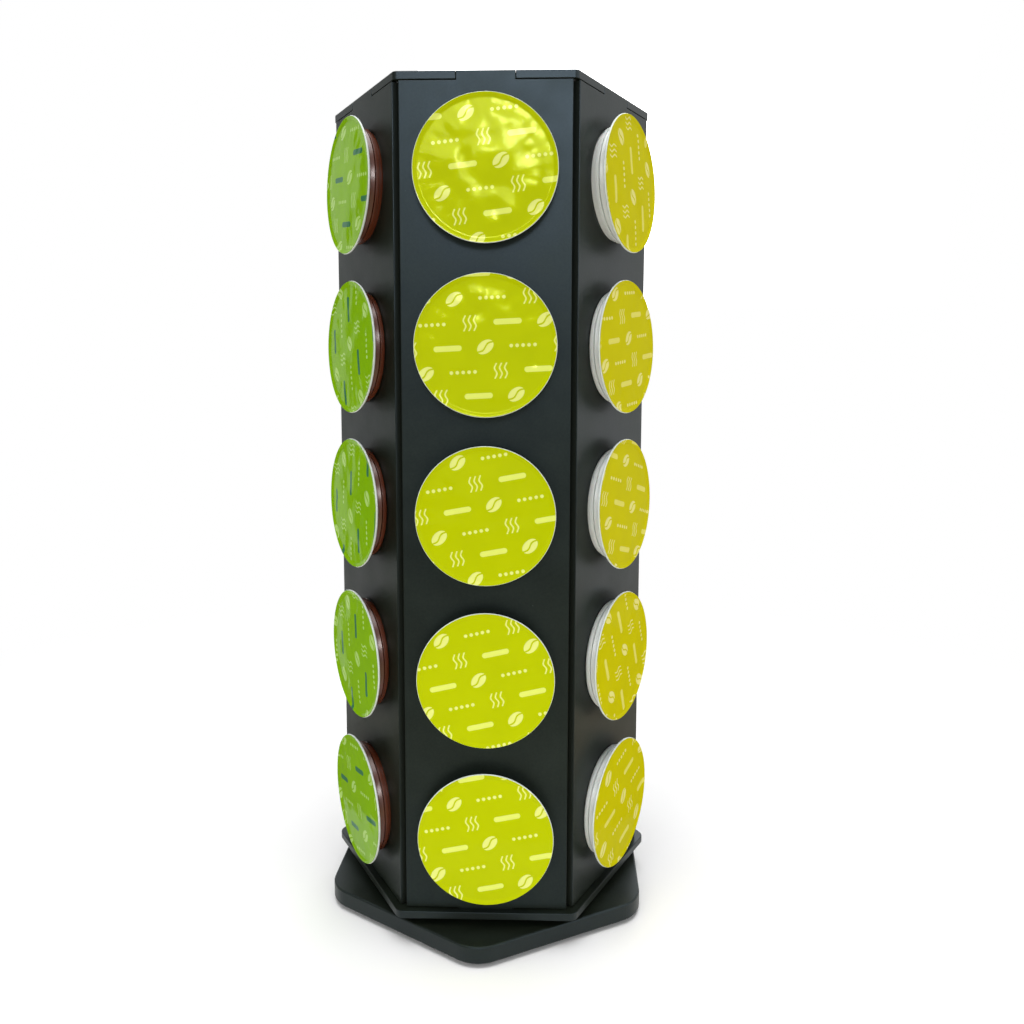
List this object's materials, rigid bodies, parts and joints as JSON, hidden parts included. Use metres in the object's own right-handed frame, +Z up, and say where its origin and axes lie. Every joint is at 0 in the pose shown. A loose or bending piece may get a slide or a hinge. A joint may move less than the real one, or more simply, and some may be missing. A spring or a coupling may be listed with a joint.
{
  "type": "coffee capsule dispenser",
  "caption": "Six-sided turning tower of black board with a column of round holes in each side, holding coffee capsules with their foils outwards, on a wider base plate.",
  "frame": {"origin": "on the tower's turning axis, on the surface that the foot pads stand on", "axes": "+Z up along the turning axis, -Y out of the front side, +X to the right of someone facing the front"},
  "size_m": [0.1406, 0.1488, 0.3404],
  "materials": {
    "black_board": "black-dyed fibreboard, laser-cut, satin",
    "rubber": "matt",
    "nylon": "waxy, turned",
    "brass": "turned",
    "steel": "zinc plated",
    "white_cup": "thin moulded polypropylene, satin",
    "brown_cup": "thin moulded polypropylene, satin",
    "lime_foil": "lacquered and printed foil, gloss",
    "mustard_foil": "lacquered and printed foil, gloss",
    "green_foil": "lacquered and printed foil, gloss"
  },
  "bodies": {
    "base": {"base_plate": "black_board", "foot_pad_1": "rubber", "foot_pad_2": "rubber", "foot_pad_3": "rubber", "foot_pad_4": "rubber", "foot_pad_5": "rubber", "foot_pad_6": "rubber", "glide_ring": "nylon", "threaded_insert": "brass", "pivot_screw": "steel", "pivot_washer": "steel"},
    "tower": {"floor_plate": "black_board", "pivot_bush": "nylon", "side_panel_front": "black_board", "side_panel_right": "black_board", "side_panel_rear_right": "black_board", "side_panel_rear": "black_board", "side_panel_rear_left": "black_board", "side_panel_left": "black_board", "top_lid": "black_board"},
    "capsule_front_1": {"capsule_cup_front_1": "white_cup", "capsule_foil_front_1": "lime_foil"},
    "capsule_front_2": {"capsule_cup_front_2": "white_cup", "capsule_foil_front_2": "lime_foil"},
    "capsule_front_3": {"capsule_cup_front_3": "white_cup", "capsule_foil_front_3": "lime_foil"},
    "capsule_front_4": {"capsule_cup_front_4": "white_cup", "capsule_foil_front_4": "lime_foil"},
    "capsule_front_5": {"capsule_cup_front_5": "white_cup", "capsule_foil_front_5": "lime_foil"},
    "capsule_right_1": {"capsule_cup_right_1": "white_cup", "capsule_foil_right_1": "mustard_foil"},
    "capsule_right_2": {"capsule_cup_right_2": "white_cup", "capsule_foil_right_2": "mustard_foil"},
    "capsule_right_3": {"capsule_cup_right_3": "white_cup", "capsule_foil_right_3": "mustard_foil"},
    "capsule_right_4": {"capsule_cup_right_4": "white_cup", "capsule_foil_right_4": "mustard_foil"},
    "capsule_right_5": {"capsule_cup_right_5": "white_cup", "capsule_foil_right_5": "mustard_foil"},
    "capsule_left_1": {"capsule_cup_left_1": "brown_cup", "capsule_foil_left_1": "green_foil"},
    "capsule_left_2": {"capsule_cup_left_2": "brown_cup", "capsule_foil_left_2": "green_foil"},
    "capsule_left_3": {"capsule_cup_left_3": "brown_cup", "capsule_foil_left_3": "green_foil"},
    "capsule_left_4": {"capsule_cup_left_4": "brown_cup", "capsule_foil_left_4": "green_foil"},
    "capsule_left_5": {"capsule_cup_left_5": "brown_cup", "capsule_foil_left_5": "green_foil"}
  },
  "joints": [
    {"name": "tower_turn", "type": "hinge", "parent": "base", "child": "tower", "pos_m": [0, 0, 0.0118], "axis": [0, 0, 1], "continuous": true},
    {"name": "capsule_front_1_pull", "type": "slide", "parent": "tower", "child": "capsule_front_1", "axis": [0, -1, 0], "range_m": [0, 0.04]},
    {"name": "capsule_front_2_pull", "type": "slide", "parent": "tower", "child": "capsule_front_2", "axis": [0, -1, 0], "range_m": [0, 0.04]},
    {"name": "capsule_front_3_pull", "type": "slide", "parent": "tower", "child": "capsule_front_3", "axis": [0, -1, 0], "range_m": [0, 0.04]},
    {"name": "capsule_front_4_pull", "type": "slide", "parent": "tower", "child": "capsule_front_4", "axis": [0, -1, 0], "range_m": [0, 0.04]},
    {"name": "capsule_front_5_pull", "type": "slide", "parent": "tower", "child": "capsule_front_5", "axis": [0, -1, 0], "range_m": [0, 0.04]},
    {"name": "capsule_right_1_pull", "type": "slide", "parent": "tower", "child": "capsule_right_1", "axis": [0.866, -0.5, 0], "range_m": [0, 0.04]},
    {"name": "capsule_right_2_pull", "type": "slide", "parent": "tower", "child": "capsule_right_2", "axis": [0.866, -0.5, 0], "range_m": [0, 0.04]},
    {"name": "capsule_right_3_pull", "type": "slide", "parent": "tower", "child": "capsule_right_3", "axis": [0.866, -0.5, 0], "range_m": [0, 0.04]},
    {"name": "capsule_right_4_pull", "type": "slide", "parent": "tower", "child": "capsule_right_4", "axis": [0.866, -0.5, 0], "range_m": [0, 0.04]},
    {"name": "capsule_right_5_pull", "type": "slide", "parent": "tower", "child": "capsule_right_5", "axis": [0.866, -0.5, 0], "range_m": [0, 0.04]},
    {"name": "capsule_left_1_pull", "type": "slide", "parent": "tower", "child": "capsule_left_1", "axis": [-0.866, -0.5, 0], "range_m": [0, 0.04]},
    {"name": "capsule_left_2_pull", "type": "slide", "parent": "tower", "child": "capsule_left_2", "axis": [-0.866, -0.5, 0], "range_m": [0, 0.04]},
    {"name": "capsule_left_3_pull", "type": "slide", "parent": "tower", "child": "capsule_left_3", "axis": [-0.866, -0.5, 0], "range_m": [0, 0.04]},
    {"name": "capsule_left_4_pull", "type": "slide", "parent": "tower", "child": "capsule_left_4", "axis": [-0.866, -0.5, 0], "range_m": [0, 0.04]},
    {"name": "capsule_left_5_pull", "type": "slide", "parent": "tower", "child": "capsule_left_5", "axis": [-0.866, -0.5, 0], "range_m": [0, 0.04]}
  ]
}
